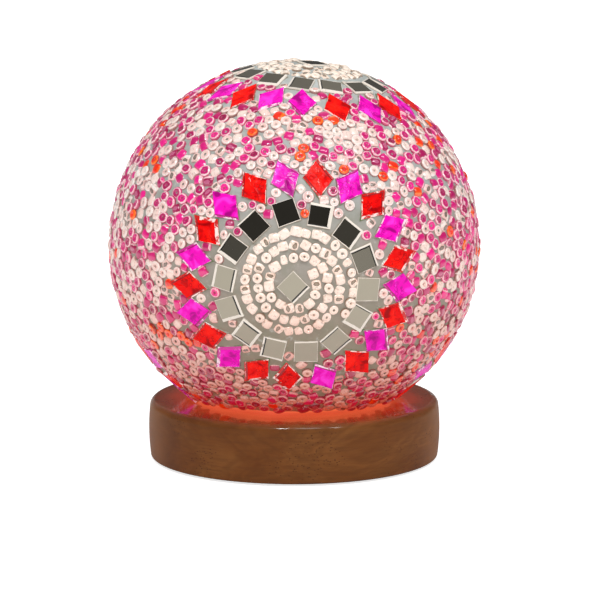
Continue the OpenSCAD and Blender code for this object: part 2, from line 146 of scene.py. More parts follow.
class Nodes:
    """A node tree, with short ways to add and join nodes."""

    def __init__(self, tree):
        self.tree = tree

    def node(self, kind, **inputs):
        n = self.tree.nodes.new(kind)
        for key, value in inputs.items():
            self.feed(n, key.replace("_", " "), value)
        return n

    def feed(self, n, socket, value):
        """Joins an output to a socket, or sets the socket's own value. A socket is a name,
        or # and a number."""
        target = n.inputs[int(socket[1:])] if socket[0] == "#" else n.inputs[socket]
        if isinstance(value, bpy.types.NodeSocket):
            self.tree.links.new(value, target)
        else:
            target.default_value = value

    def math(self, operation, a, b=0.0):
        n = self.tree.nodes.new("ShaderNodeMath")
        n.operation = operation
        self.feed(n, "#0", a)
        self.feed(n, "#1", b)
        return n.outputs[0]

    def plus(self, a, b):
        return self.math("ADD", a, b)

    def minus(self, a, b):
        return self.math("SUBTRACT", a, b)

    def times(self, a, b):
        return self.math("MULTIPLY", a, b)

    def mix(self, factor, a, b, blend="MIX"):
        n = self.tree.nodes.new("ShaderNodeMix")
        n.data_type = "RGBA"
        n.blend_type = blend
        self.feed(n, "#0", factor)
        self.feed(n, "#6", a)
        self.feed(n, "#7", b)
        return n.outputs[2]

    def ramp(self, factor, stops):
        """A colour ramp. A stop is (place, colour or level)."""
        n = self.tree.nodes.new("ShaderNodeValToRGB")
        n.color_ramp.interpolation = "EASE"
        while len(n.color_ramp.elements) < len(stops):
            n.color_ramp.elements.new(0.5)
        for element, (place, colour) in zip(n.color_ramp.elements, stops):
            element.position = place
            element.color = colour if isinstance(colour, tuple) else grey(colour)
        self.feed(n, "Fac", factor)
        return n.outputs["Color"]

    def attribute(self, name):
        n = self.tree.nodes.new("ShaderNodeAttribute")
        n.attribute_name = name
        return n

    def position(self):
        return self.tree.nodes.new("ShaderNodeTexCoord").outputs["Object"]

    def scaled(self, vector, scale):
        return self.node("ShaderNodeMapping", Vector=vector, Scale=scale).outputs[0]

    def noise(self, vector, scale, detail=3.0, roughness=0.55, distortion=0.0):
        """Noise from 0 to 1, with scale lumps to the metre."""
        n = self.node("ShaderNodeTexNoise", Vector=vector, Scale=scale, Detail=detail,
                      Roughness=roughness, Distortion=distortion)
        return n.outputs["Fac"]

    def between(self, value, low, high, at_low=0.0, at_high=1.0):
        """A value turned into at_low up to low, at_high from high on, and even between."""
        n = self.node("ShaderNodeMapRange", Value=value, From_Min=low, From_Max=high,
                      To_Min=at_low, To_Max=at_high)
        return n.outputs[0]

    def height(self, low, high):
        """0 at the height low and 1 at the height high, in metres."""
        z = self.node("ShaderNodeSeparateXYZ", Vector=self.position()).outputs["Z"]
        return self.between(z, low, high)

    def by_ray(self, kind, seen, unseen):
        """One level for rays of a kind, and another for all others."""
        path = self.tree.nodes.new("ShaderNodeLightPath").outputs[kind]
        return self.mix(path, grey(unseen), grey(seen))

    def bump(self, height, strength, distance):
        n = self.node("ShaderNodeBump", Height=height, Strength=strength, Distance=distance)
        return n.outputs[0]


class Material(Nodes):
    """A node material round one Principled shader."""

    def __init__(self, name, **inputs):
        self.material = bpy.data.materials.new(name)
        self.material.use_nodes = True
        super().__init__(self.material.node_tree)
        self.shader = self.tree.nodes["Principled BSDF"]
        self.set(**inputs)

    def set(self, **inputs):
        """Sets the shader's sockets. One that is even all over gets its value directly."""
        for key, value in inputs.items():
            self.feed(self.shader, key.replace("_", " "), value)


def warmth(m):
    """The lamp's light in the mosaic: neutral at the top and peach towards the base."""
    return m.ramp(m.height(BASE_TOP, GLOBE_HIGH), [
        (0.0, linear(232, 128, 104)), (0.1, linear(232, 164, 148)), (0.24, linear(244, 208, 198)),
        (0.42, linear(255, 242, 236)), (0.7, linear(255, 252, 250)), (1.0, linear(255, 248, 242))])


SOFT = 0.05                               # half the width of a lining's blurred edge
SLIT_WIDTH, SLIT_LENGTH = 0.32, 0.66      # of the hole seen through a bead that lies


def bead_material(name, colours, core_edge, slits, glow=0.23):
    """A lined glass seed bead. The attribute bead_at is the place in the bead: across its
    axis on the red and green channels, and how upright it stands on the blue one. bead_axis
    is the place along its axis, and bead_tone is different for each bead. core_edge is how
    far out the lining reaches, and slits how many beads show their hole from the side."""
    m = Material(name, Roughness=0.3, Coat_Weight=1.0, Coat_Roughness=0.03, Coat_IOR=1.9)
    at = m.node("ShaderNodeSeparateColor", Color=m.attribute("bead_at").outputs["Color"])
    tone = m.attribute("bead_tone").outputs["Fac"]
    other = m.math("FRACT", m.times(tone, 7.31))
    x, y, upright = at.outputs[0], at.outputs[1], at.outputs[2]
    lying = m.minus(1.0, upright)
    radial = m.math("SQRT", m.plus(m.times(x, x), m.times(y, y)))
    sideways = m.times(m.minus(other, 0.5), 0.5)
    wobble = m.times(m.minus(m.noise(m.position(), 700.0), 0.5), 0.6)
    outside = m.plus(m.times(m.math("ABSOLUTE", x), lying), m.times(radial, upright))
    shifted = m.math("ABSOLUTE", m.plus(x, m.times(sideways, 1.3)))
    away = m.plus(m.times(shifted, lying), m.times(radial, upright))
    away = m.plus(away, wobble)
    lining = m.mix(tone, linear(*colours["core_dark"]), linear(*colours["core"]))
    clear = m.mix(other, linear(*colours["clear"]), linear(*colours["clear_other"]))
    edge = m.ramp(away, [(0.0, 0.0), (core_edge - SOFT, 0.0), (core_edge + SOFT, 1.0), (1.0, 1.0)])
    body = m.mix(edge, lining, clear)
    # Painted highlight: a ring partway out on each bead is lightened to the colour bright.
    painted_highlight_ring = m.ramp(away, [(0.0, 0.0), (0.6, 0.0), (0.78, 0.8), (0.9, 0.0), (1.0, 0.0)])
    body = m.mix(painted_highlight_ring, body, linear(*colours["bright"]))
    along = m.math("ABSOLUTE", m.attribute("bead_axis").outputs["Fac"])
    # Painted shade: each bead darkens to the colour rim towards its edge, and one that lies also
    # towards its ends.
    end_shade = m.times(m.ramp(along, [(0.0, 0.0), (0.8, 0.0), (0.98, 0.8)]), lying)
    rim = m.math("MAXIMUM", m.ramp(outside, [(0.0, 0.0), (0.84, 0.0), (0.98, 1.0)]), end_shade)
    body = m.mix(rim, body, linear(*colours["rim"]))
    streaks = m.ramp(m.noise(m.position(), 950.0, 2.0), [(0.32, 0.36), (0.48, 0.0), (1.0, 0.0)])
    body = m.mix(streaks, body, linear(*colours["rim"]))
    # Painted shade: the hole's wall on a standing bead, and the hole seen through the glass of
    # some lying beads, take the colour hole, the glue in the hole darkened as if in shade.
    pit = m.ramp(radial, [(0.0, 1.0), (0.18, 1.0), (0.27, 0.0), (1.0, 0.0)])
    pit = m.times(m.times(pit, upright), m.ramp(other, [(0.3, 0.15), (0.9, 0.85)]))
    across = m.math("DIVIDE", m.plus(m.plus(x, sideways), wobble), SLIT_WIDTH)
    lengthways = m.math("DIVIDE", along, SLIT_LENGTH)
    slit = m.plus(m.times(across, across), m.times(lengthways, lengthways))
    slit = m.ramp(slit, [(0.0, 0.75), (0.5, 0.9), (0.8, 1.0), (1.0, 0.0)])
    shown = m.times(m.math("LESS_THAN", tone, slits), lying)
    hole = m.math("MAXIMUM", pit, m.times(slit, shown))
    body = m.mix(hole, body, linear(*colours["hole"]))
    body = m.mix(1.0, body, warmth(m), "MULTIPLY")
    # The emission is painted light: each bead glows with its own colour, as if lit from inside by
    # the lamp.
    m.set(Base_Color=body, Emission_Color=body, Emission_Strength=glow)
    m.set(Normal=m.bump(m.noise(m.position(), 600.0), 0.2, 0.0003))
    return m.material


def foil_material(name, bright, middle, dark, glow=0.34):
    """Glass over wrinkled foil: soft folds and creases in painted shade and painted highlight,
    small bubbles and a smooth face.
    """
    m = Material(name, Roughness=0.25, Specular_IOR_Level=0.1, Coat_Weight=0.12,
                 Coat_Roughness=0.03)
    at = m.position()
    folds = m.noise(at, 150.0, 1.5, 0.4, 0.9)
    creases = m.noise(at, 330.0, 2.0, 0.45, 0.6)
    cells = m.node("ShaderNodeTexVoronoi", Vector=at, Scale=480.0).outputs["Distance"]
    rings = m.ramp(cells, [(0.0, 0.0), (0.3, 0.0), (0.42, 1.0), (0.55, 0.0), (1.0, 0.0)])
    rings = m.times(rings, m.ramp(m.noise(at, 90.0, 1.0), [(0.5, 0.0), (0.58, 0.7)]))
    # Painted shade and painted highlight: the foil darkens in its low folds and creases and
    # lightens to bright on its high folds.
    colour = m.mix(m.ramp(folds, [(0.3, 1.0), (0.46, 0.0)]), middle, dark)
    colour = m.mix(m.ramp(folds, [(0.5, 0.0), (0.66, 1.0)]), colour, bright)
    colour = m.mix(m.ramp(creases, [(0.3, 0.5), (0.42, 0.0)]), colour, dark)
    colour = m.mix(rings, colour, dark)
    # The emission is painted light: the foil glows with its own colour.
    m.set(Base_Color=colour, Emission_Color=colour, Emission_Strength=glow)
    m.set(Normal=m.bump(m.plus(folds, m.times(creases, 0.25)), 0.35, 0.0012))
    return m.material


def mirror_material():
    """Mirror glass, a little dusty and not quite flat."""
    m = Material("mirror_face", Metallic=1.0)
    dust = m.noise(m.position(), 260.0, 5.0, 0.7)
    m.set(Base_Color=m.ramp(dust, [(0.0, linear(190, 182, 165)), (0.68, linear(194, 186, 168)),
                                   (0.76, linear(222, 216, 202)), (1.0, linear(232, 226, 214))]),
          Roughness=m.ramp(dust, [(0.0, 0.02), (0.66, 0.04), (0.8, 0.3)]))
    m.set(Normal=m.bump(m.noise(m.position(), 60.0, 1.0), 0.12, 0.0002))
    return m.material


def edge_material(name, light, dark, share=0.34, glow=0.22):
    """The ground edge of a tile: bright, with a share of darker flecks."""
    m = Material(name, Roughness=0.25, Coat_Weight=0.5, Coat_Roughness=0.06)
    streak = m.noise(m.position(), 210.0, 6.0, 0.75, 0.4)
    tone = m.ramp(streak, [(share, dark), (share + 0.06, light), (1.0, light)])
    # The emission is painted light: the edge glows with its own colour.
    m.set(Base_Color=tone, Emission_Color=tone, Emission_Strength=glow)
    m.set(Normal=m.bump(streak, 0.6, 0.0004))
    return m.material


def grout_material():
    """Pale glue with darker and lighter blots, lit warm towards the base."""
    m = Material("grout", Roughness=0.5, Coat_Weight=0.25, Coat_Roughness=0.2)
    at = m.position()
    tone = m.ramp(m.height(BASE_TOP, GLOBE_HIGH), [
        (0.0, linear(190, 116, 84)), (0.1, linear(146, 120, 98)), (0.25, linear(152, 138, 120)),
        (0.5, linear(164, 156, 146)), (0.75, linear(176, 180, 177)), (1.0, linear(188, 194, 192))])
    blot = m.noise(at, 120.0, 4.0, 0.6)
    tone = m.mix(m.ramp(blot, [(0.3, 0.35), (0.6, 0.0)]), tone, linear(128, 132, 108))
    flecks = m.ramp(m.noise(at, 260.0, 4.0, 0.65), [(0.56, 0.0), (0.7, 0.4)])
    tone = m.mix(flecks, tone, linear(214, 212, 206))
    # The emission is painted light: the grout glows with its own colour.
    m.set(Base_Color=tone, Emission_Color=tone, Emission_Strength=0.14)
    m.set(Normal=m.bump(m.noise(at, 330.0, 4.0, 0.6), 0.5, 0.0008))
    return m.material


def fillet_material(name, colour):
    """The glue squeezed out round a tile."""
    m = Material(name, Roughness=0.3, Coat_Weight=0.4, Coat_Roughness=0.1)
    blot = m.noise(m.position(), 240.0, 3.0, 0.6)
    tone = m.mix(m.ramp(blot, [(0.4, 0.0), (0.65, 0.8)]), colour, linear(176, 172, 160))
    # The emission is painted light: the glue glows with its own colour.
    m.set(Base_Color=tone, Emission_Color=tone, Emission_Strength=0.15)
    m.set(Normal=m.bump(blot, 0.5, 0.0005))
    return m.material


def glass_material():
    """The frosted glass below the mosaic, glowing from the bulb."""
    m = Material("frosted_glass", Roughness=0.3, Coat_Weight=0.8, Coat_Roughness=0.08)
    at = m.position()
    glow = m.ramp(m.height(BASE_TOP, BASE_TOP + 14 * MM), [
        (0.0, linear(196, 84, 48)), (0.12, linear(226, 124, 78)), (0.3, linear(246, 158, 120)),
        (1.0, linear(250, 206, 180))])
    patches = m.ramp(m.noise(at, 34.0, 3.0), [(0.35, 0.5), (0.6, 0.0)])
    glow = m.mix(patches, glow, linear(226, 104, 84))
    m.set(Base_Color=glow, Emission_Color=glow, Emission_Strength=0.62)
    m.set(Normal=m.bump(m.noise(at, 420.0, 3.0), 0.35, 0.0004))
    return m.material


def wood_material():
    """Lacquered wood with soft figure, fine fibres and pores. Its top is glossy and takes the
    lamp's red light, which falls off from the globe's seat to the rim."""
    m = Material("lacquered_wood", Specular_IOR_Level=0.1, Coat_IOR=1.6, Coat_Roughness=0.1,
                 Emission_Strength=0.8)
    at = m.position()
    x, y, _ = m.node("ShaderNodeSeparateXYZ", Vector=at).outputs
    swirl = m.noise(m.scaled(at, (14.0, 14.0, 34.0)), 1.0, 3.0, 0.5, 2.2)
    lines = m.math("FRACT", m.times(swirl, 7.0))
    lines = m.ramp(lines, [(0.0, 0.0), (0.45, 1.0), (1.0, 0.0)])
    cloud = m.noise(m.scaled(at, (20.0, 20.0, 40.0)), 1.0, 4.0, 0.55, 0.8)
    fibre = m.noise(m.scaled(at, (90.0, 90.0, 900.0)), 1.0, 3.0, 0.6)
    tone = m.ramp(cloud, [(0.3, linear(107, 60, 26)), (0.46, linear(121, 71, 32)),
                          (0.6, linear(132, 82, 40)), (0.75, linear(113, 65, 29))])
    tone = m.mix(m.times(lines, 0.32), tone, linear(94, 54, 24))
    tone = m.mix(m.ramp(fibre, [(0.36, 0.3), (0.56, 0.0)]), tone, linear(96, 56, 28))
    reach = m.math("SQRT", m.plus(m.times(x, x), m.times(y, y)))
    sideways = m.math("DIVIDE", m.math("ABSOLUTE", x), reach)
    # Painted sheen: the wood is lightened where it faces left and right.
    tone = m.mix(m.ramp(sideways, [(0.8, 0.0), (1.0, 0.5)]), tone, linear(158, 98, 40))
    pores = m.node("ShaderNodeTexVoronoi", Vector=m.scaled(at, (520.0, 520.0, 1100.0)), Scale=1.0)
    speck = m.ramp(pores.outputs["Distance"], [(0.0, 1.0), (0.16, 1.0), (0.25, 0.0)])
    speck = m.times(speck, m.ramp(m.noise(at, 55.0, 2.0), [(0.5, 0.0), (0.6, 0.8)]))
    tone = m.mix(speck, tone, linear(62, 36, 18))
    on_top = m.ramp(m.height(BASE_TOP - 2.6 * MM, BASE_TOP - 0.1 * MM), [(0.0, 0.0), (1.0, 1.0)])
    uneven = m.times(m.minus(m.noise(at, 40.0, 3.0), 0.5), 0.35)
    outwards = m.plus(m.between(reach, 38 * MM, BASE_R), uneven)
    glow = m.ramp(outwards, [(0.0, linear(224, 104, 76)), (0.2, linear(204, 76, 48)),
                             (0.5, linear(166, 44, 20)), (0.8, linear(98, 26, 8)),
                             (1.0, linear(34, 10, 3))])
    m.set(Base_Color=tone, Emission_Color=m.mix(on_top, grey(0.0), glow),
          Roughness=m.plus(0.36, m.times(cloud, 0.2)),
          Coat_Weight=m.plus(0.08, m.times(on_top, 0.92)))
    m.set(Normal=m.bump(m.minus(m.times(fibre, 0.4), speck), 0.25, 0.0003))
    return m.material


def plain_material(name, colour, rough=0.45, metal=0.0, scale=300.0, amount=0.06, glow=0.0):
    """Moulded or stamped parts: a fine grain in colour, roughness and height. amount is how
    dark the grain is, in quarters."""
    m = Material(name, Metallic=metal)
    grain = m.noise(m.position(), scale, 5.0, 0.65)
    dark = tuple(c * (1 - amount * 4) for c in colour[:3]) + (1.0,)
    tone = m.mix(grain, dark, colour)
    m.set(Base_Color=tone, Roughness=m.plus(rough - 0.1, m.times(grain, 0.2)))
    m.set(Emission_Color=colour, Emission_Strength=glow)
    m.set(Normal=m.bump(grain, 0.2, 0.0002))
    return m.material


def assign(material, *nodes):
    """Gives CAD nodes a new material. Their meshes stay as they are."""
    for node in nodes:
        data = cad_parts[node].data
        data.materials.clear()
        data.materials.append(material)


WHITE_BEAD = bead_material("white_lined_beads", {
    "hole": (98, 92, 82), "core": (253, 238, 230), "core_dark": (240, 196, 190),
    "clear": (252, 240, 234), "clear_other": (244, 202, 198), "bright": (255, 255, 252),
    "rim": (146, 98, 92)}, 0.45, 0.5)
SPIRAL_BEAD = bead_material("spiral_beads", {
    "hole": (112, 98, 74), "core": (255, 246, 236), "core_dark": (250, 230, 216),
    "clear": (255, 248, 238), "clear_other": (252, 238, 224), "bright": (255, 255, 250),
    "rim": (128, 104, 82)}, 0.5, 0.35, 0.28)
PINK_BEAD = bead_material("pink_lined_beads", {
    "hole": (206, 110, 150), "core": (250, 18, 150), "core_dark": (164, 2, 80),
    "clear": (255, 200, 212), "clear_other": (244, 76, 150), "bright": (255, 238, 240),
    "rim": (178, 34, 88)}, 0.7, 0.15)
ORANGE_BEAD = bead_material("orange_beads", {
    "hole": (190, 120, 90), "core": (255, 62, 0), "core_dark": (226, 22, 0),
    "clear": (255, 96, 0), "clear_other": (236, 30, 0), "bright": (255, 130, 20),
    "rim": (150, 24, 0)}, 0.5, 0.0, 0.42)
RED_FOIL = foil_material("red_foil_glass", linear(248, 24, 10), linear(226, 6, 6),
                         linear(150, 0, 4))
MAGENTA_FOIL = foil_material("magenta_foil_glass", linear(248, 52, 208), linear(232, 10, 178),
                             linear(158, 4, 118))
MIRROR = mirror_material()
MIRROR_EDGE = edge_material("mirror_edge", linear(238, 228, 216), linear(150, 138, 124))
MIRROR_LINE = edge_material("mirror_line", linear(44, 42, 38), linear(88, 82, 74), glow=0.0)
RED_EDGE = edge_material("red_edge", linear(255, 226, 220), linear(206, 24, 22), 0.5)
MAGENTA_EDGE = edge_material("magenta_edge", linear(255, 226, 238), linear(206, 40, 150), 0.5)
# Painted shade: the dark strip on a diamond's broad edge is the side of its bevel turned from the
# light.
RED_SHADE_LINE = edge_material("red_edge_shade", linear(166, 6, 14), linear(232, 60, 50), glow=0.1)
MAGENTA_SHADE_LINE = edge_material("magenta_edge_shade", linear(176, 10, 110), linear(240, 90, 190),
                             glow=0.1)
# Painted shade: the glue round the diamonds is a darker green, for the shade along their edges.
GREEN_GLUE_AND_SHADE = fillet_material("glue_and_painted_shade_at_diamonds", linear(104, 122, 82))
BROWN_GLUE = fillet_material("glue_at_mirrors", linear(146, 132, 114))
MIRROR_SET = [MIRROR, MIRROR_EDGE, MIRROR_LINE, BROWN_GLUE]
FOIL_SETS = {"red": [RED_FOIL, RED_EDGE, RED_SHADE_LINE, GREEN_GLUE_AND_SHADE],
             "magenta": [MAGENTA_FOIL, MAGENTA_EDGE, MAGENTA_SHADE_LINE, GREEN_GLUE_AND_SHADE]}


# ---------------------------------------------------------------- meshes

def make_piece(name, verts, faces, materials, body, replaced, face_slots=None, smooth=True):
    """A new piece that rides on a body and stands for the replaced CAD nodes."""
    mesh = bpy.data.meshes.new(name)
    mesh.from_pydata(verts, [], faces)
    for material in materials:
        mesh.materials.append(material)
    if face_slots is not None:
        mesh.polygons.foreach_set("material_index", face_slots)
    mesh.polygons.foreach_set("use_smooth", [smooth] * len(mesh.polygons))
    mesh.update()
    piece = bpy.data.objects.new(name, mesh)
    bpy.context.scene.collection.objects.link(piece)
    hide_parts(*replaced)
    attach(piece, body)
    return piece


# Tiles

FACE, EDGE, LINE, GLUE = range(4)         # a tile's material slots
STEPS = 5                                 # points along each side of a tile
LEAN = 0.022                              # slope of a face, root mean square
CORNER_SLIP = 0.12 * MM                   # how far a corner is off its place, the same way
FINE_EDGE = (0.08 * MM, 0.26 * MM)        # least and most width of most ground edges
BROAD_EDGE = (0.8 * MM, 1.6 * MM)         # and of a broad one
LINED = 0.5                               # how often a broad edge shows a dark line
EDGE_SLOPE = 0.3                          # how far an edge drops for its width
HALF_DROP = 0.45                          # and what is left of that at its middle
SQUEEZED = 0.5 * MM                       # how far the glue stands out round a tile
SQUEEZED_UNEVEN = 0.12 * MM
GLUE_SLOPE = (-0.5 * MM, 0.1 * MM)        # its outer and inner edge, from the grout's face
FACE_LOOPS = (0.7, 0.36)                  # sizes of the loops inside a face, of its own


def inset_corners(corners, widths):
    """The corners of a tile's face, each side drawn in by its own width."""
    out = []
    for i in range(4):
        before, here, after = corners[i - 1], corners[i], corners[(i + 1) % 4]
        normals = []
        for a, b in ((before, here), (here, after)):
            along = (b - a) / np.linalg.norm(b - a)
            normals.append([-along[1], along[0]])
        moved = np.linalg.solve(np.array(normals), [widths[i - 1], widths[i]])
        out.append(here + moved)
    return np.array(out)


def walk(corners, bite):
    """Points along the sides, each bitten inwards by a small random chip."""
    out = []
    for i in range(4):
        a, b = corners[i], corners[(i + 1) % 4]
        inward = np.array([-(b - a)[1], (b - a)[0]]) / np.linalg.norm(b - a)
        for k in range(STEPS):
            chip = abs(rng.normal(0, bite)) if k else 0.0
            out.append(a + (b - a) * k / STEPS + inward * chip)
    return np.array(out)


def tile_mesh(tile, wide, chip, ripple):
    """Verts, faces and face slots of one tile, with the glue squeezed out round it. wide
    is how often a side has a broad ground edge, chip how deep its edges are chipped, and
    ripple how uneven its face is. Each face leans a little its own way."""
    lean = rng.normal(0, LEAN, 2)
    corners = inset_corners(tile.outline, [-2 * chip] * 4) + rng.normal(0, CORNER_SLIP, (4, 2))
    widths = [rng.uniform(*FINE_EDGE) for _ in range(4)]
    lined = [False] * 4
    for i in range(4):
        if rng.random() < wide:
            widths[i] = rng.uniform(*BROAD_EDGE)
            lined[i] = rng.random() < LINED
    inner = inset_corners(corners, widths)
    top, n = tile.t, 4 * STEPS
    drop = np.repeat([EDGE_SLOPE * width for width in widths], STEPS)
    outer = walk(corners, chip)
    face = walk(inner, chip * 1.5)
    half = HALF_DROP * outer + (1 - HALF_DROP) * face
    flare = walk(inset_corners(corners, [-SQUEEZED] * 4), SQUEEZED_UNEVEN)
    grout = GROUT_R - SET_R
    levels = [(flare, grout + GLUE_SLOPE[0]), (outer, grout + GLUE_SLOPE[1]),
              (outer, top - drop + outer @ lean), (half, top - drop * HALF_DROP + half @ lean),
              (face, top + face @ lean)]
    for size in FACE_LOOPS:
        levels.append((face * size, top + face @ lean * size + rng.normal(0, ripple, n)))
    verts = [tile.world(shape[:, 0], shape[:, 1], np.zeros(n) + z) for shape, z in levels]
    verts.append(tile.world([0], [0], [top + rng.normal(0, ripple)]))
    verts.append(tile.world([0], [0], [0.0]))
    verts = np.concatenate(verts)
    faces, slots = [], []
    for level in range(len(levels) - 1):
        for i in range(n):
            j = (i + 1) % n
            a, b = level * n, (level + 1) * n
            faces.append((a + i, a + j, b + j, b + i))
            dark = level == 3 and lined[i // STEPS]
            slots.append(GLUE if level == 0 else LINE if dark else EDGE if level < 4 else FACE)
    last = (len(levels) - 1) * n
    for i in range(n):
        j = (i + 1) % n
        faces.append((last + i, last + j, len(verts) - 2))
        slots.append(FACE)
        faces.append((j, i, len(verts) - 1))
        slots.append(GLUE)
    return verts, faces, slots


def tile_piece(name, node, materials, cut):
    """One detailed piece for the tiles of a CAD node, on those tiles' own places."""
    tiles = [Tile(corners) for corners in islands(node)]
    verts, faces, slots, start = [], [], [], 0
    for tile in tiles:
        v, f, s = tile_mesh(tile, *cut)
        verts.append(v)
        faces += [tuple(i + start for i in face) for face in f]
        slots += s
        start += len(v)
    make_piece(name, np.concatenate(verts), faces, materials, "globe", [node], slots, False)
    return tiles


# Beads

# A bead's section from the hole outwards and round: radius, and place along the axis
PROFILE = [(0.2, -0.36), (0.2, 0.38), (0.32, 0.49), (0.6, 0.5), (0.84, 0.41), (0.96, 0.25),
           (1.0, 0.0), (0.96, -0.25), (0.8, -0.43), (0.36, -0.49)]
SIDES = 16
FLAT = 0.64                               # how flat a bead looks that lies on its side
MISSHAPEN = 0.05                          # how far beads are off round and square
STANDING = (0.55, 0.8)                    # cosines from lying on the side to standing
STANDING_LENGTH = (2.6 * MM, 2.9 * MM)    # least and most length of a bead that stands


def bead_piece(name, beads, material, node):
    """All beads of one colour as one mesh. A bead is (place, axis, radius, length, tone)."""
    profile = np.array(PROFILE)
    angles = np.linspace(0, 2 * math.pi, SIDES, endpoint=False)
    rings = len(profile)
    verts, marks, along, tones = [], [], [], []
    for place, axis, radius, length, tone in beads:
        out = unit(place - CENTRE)
        across = np.cross(axis, out)
        if np.linalg.norm(across) < SLANTED:
            across = np.cross(axis, [0.3, 0.5, 0.81])
        across = unit(across)
        third = np.cross(axis, across)
        lying, standing = STANDING
        upright = float(np.clip((abs(axis @ out) - lying) / (standing - lying), 0, 1))
        squash = 1 + rng.normal(0, MISSHAPEN, 2)
        squash[1] *= FLAT + (1 - FLAT) * upright
        lean = rng.normal(0, MISSHAPEN)
        r = profile[:, 0:1] * radius
        z = profile[:, 1:2] * length * (1 + lean * np.cos(angles))[None, :]
        x = r * np.cos(angles)[None, :]
        y = r * np.sin(angles)[None, :]
        p = place + (x * squash[0])[..., None] * across + (y * squash[1])[..., None] * third
        verts.append((p + z[..., None] * axis).reshape(-1, 3))
        mark = np.stack([x / radius, y / radius, np.full_like(x, upright)], -1)
        marks.append(mark.reshape(-1, 3))
        along.append((z / length * 2).ravel())
        tones.append(np.full(rings * SIDES, tone))
    faces = []
    for b in range(len(beads)):
        start = b * rings * SIDES
        for i in range(rings):
            a, c = start + i * SIDES, start + ((i + 1) % rings) * SIDES
            for k in range(SIDES):
                j = (k + 1) % SIDES
                faces.append((a + k, c + k, c + j, a + j))
    piece = make_piece(name, np.concatenate(verts), faces, [material], "globe", [node])
    mark = piece.data.attributes.new("bead_at", "FLOAT_VECTOR", "POINT")
    mark.data.foreach_set("vector", np.concatenate(marks).ravel())
    for key, values in (("bead_axis", along), ("bead_tone", tones)):
        mark = piece.data.attributes.new(key, "FLOAT", "POINT")
        mark.data.foreach_set("value", np.concatenate(values))


def lay_bead(direction, heading, upright, radius, length, uneven):
    """A bead on the glass at a direction from the globe's middle, standing or on its side."""
    out = unit(direction)
    first, second = tangents(out)
    flat = math.cos(heading) * first + math.sin(heading) * second
    tilt = rng.normal(0, 0.1) if upright else math.pi / 2 + rng.normal(0, 0.08)
    axis = unit(math.cos(tilt) * out + math.sin(tilt) * flat)
    depth = length * 0.5 if upright else radius * FLAT
    place = CENTRE + out * (BEAD_TOP_R - depth + rng.uniform(-uneven, uneven))
    return place, axis, radius, length, rng.random()


SPIRAL_START, SPIRAL_END = 8.3 * MM, 24.2 * MM    # distances from a medallion's middle
SPIRAL_ROW = 5.0 * MM                     # between the spiral's turns
SPIRAL_STEP = 4.5 * MM                    # from bead to bead along it
SPIRAL_UPRIGHT = 0.25                     # how many of its beads stand
SPIRAL_RADIUS = (2.3 * MM, 2.55 * MM)
SPIRAL_LENGTH = (1.75, 1.95)              # of a bead that lies, for its radius
SPIRAL_UNEVEN = 0.55 * MM                 # how far a bead is above or below its place


def spiral_beads(pole):
    """The beads of one medallion's spiral, closer together than the CAD's."""
    north = unit(np.array([0.0, 0.0, 1.0]) - pole[2] * pole)
    right = np.cross(north, pole)
    beads = []
    area = (SPIRAL_END ** 2 - SPIRAL_START ** 2) * math.pi
    for k in range(int(area / (SPIRAL_ROW * SPIRAL_STEP)) + 1):
        r = math.sqrt(SPIRAL_START ** 2 + SPIRAL_ROW * SPIRAL_STEP * k / math.pi)
        clock = (r / SPIRAL_ROW + 0.5) * 2 * math.pi
        polar = math.asin(r / SET_R)
        outward = math.cos(clock) * north + math.sin(clock) * right
        slip = rng.normal(0, 0.003, 3)
        direction = unit(math.cos(polar) * pole + math.sin(polar) * outward + slip)
        upright = rng.random() < SPIRAL_UPRIGHT
        first, second = tangents(direction)
        heading = math.atan2(outward @ second, outward @ first) + rng.normal(0, 0.3)
        radius = rng.uniform(*SPIRAL_RADIUS)
        if upright:
            length = rng.uniform(*STANDING_LENGTH)
        else:
            length = radius * rng.uniform(*SPIRAL_LENGTH)
        beads.append(lay_bead(direction, heading, upright, radius, length, SPIRAL_UNEVEN))
    return beads


LOOSE_PLACES = 3350                       # on the whole globe, before any are left out
LOOSE_R = SET_R + 2 * MM                  # where the loose beads' distances are measured
LOWEST = math.sin(math.radians(-54.5))    # of a bead's direction
SPIRAL_EDGE = math.cos(math.radians(18.4))    # no loose beads inside this angle
NEAR_TILE = math.cos(0.2)                 # tiles further off than this aren't looked at
APART = 5.0 * MM                          # the distance that beads push each other to
OFF_TILE = 2.35 * MM                      # and that tiles push them to
TILE_PUSH = 1.2 * MM                      # the most that a tile pushes at once
ROUNDS = 26
LEAST_OFF_TILE = 1.8 * MM                 # a bead nearer than this to a tile is left out
LEAST_APART = math.cos(3.9 * MM / LOOSE_R)    # and one nearer than this to another
INTO_TILE_ROOM = 0.15 * MM                # how far a bead may reach into a tile's place
SHARE_OF_GAP = 0.58                       # a bead's radius, of the distance to the next


def off_spirals(q, poles):
    """Which directions are above the lowest row and outside the spirals."""
    keep = q[:, 2] > LOWEST
    for pole in poles:
        keep &= q @ pole < SPIRAL_EDGE
    return keep


def clearance(q, tiles, middles):
    """How far each bead is outside the nearest tile's outline, and which way is out."""
    depth = np.full(len(q), 1.0)
    way = np.zeros_like(q)
    for tile, middle in zip(tiles, middles):
        near = np.nonzero(q @ middle > NEAR_TILE)[0]
        if not len(near):
            continue
        local = CENTRE + q[near] * LOOSE_R - tile.o
        x, y = local @ tile.u, local @ tile.v
        worst = np.full(len(near), -1.0)
        push = np.zeros((len(near), 3))
        for k in range(4):
            a, b = tile.outline[k], tile.outline[(k + 1) % 4]
            e = (b - a) / np.linalg.norm(b - a)
            d = (x - a[0]) * e[1] - (y - a[1]) * e[0]
            better = d > worst
            worst = np.where(better, d, worst)
            push[better] = e[1] * tile.u - e[0] * tile.v
        closer = worst < depth[near]
        depth[near[closer]] = worst[closer]
        way[near[closer]] = push[closer]
    return depth, way


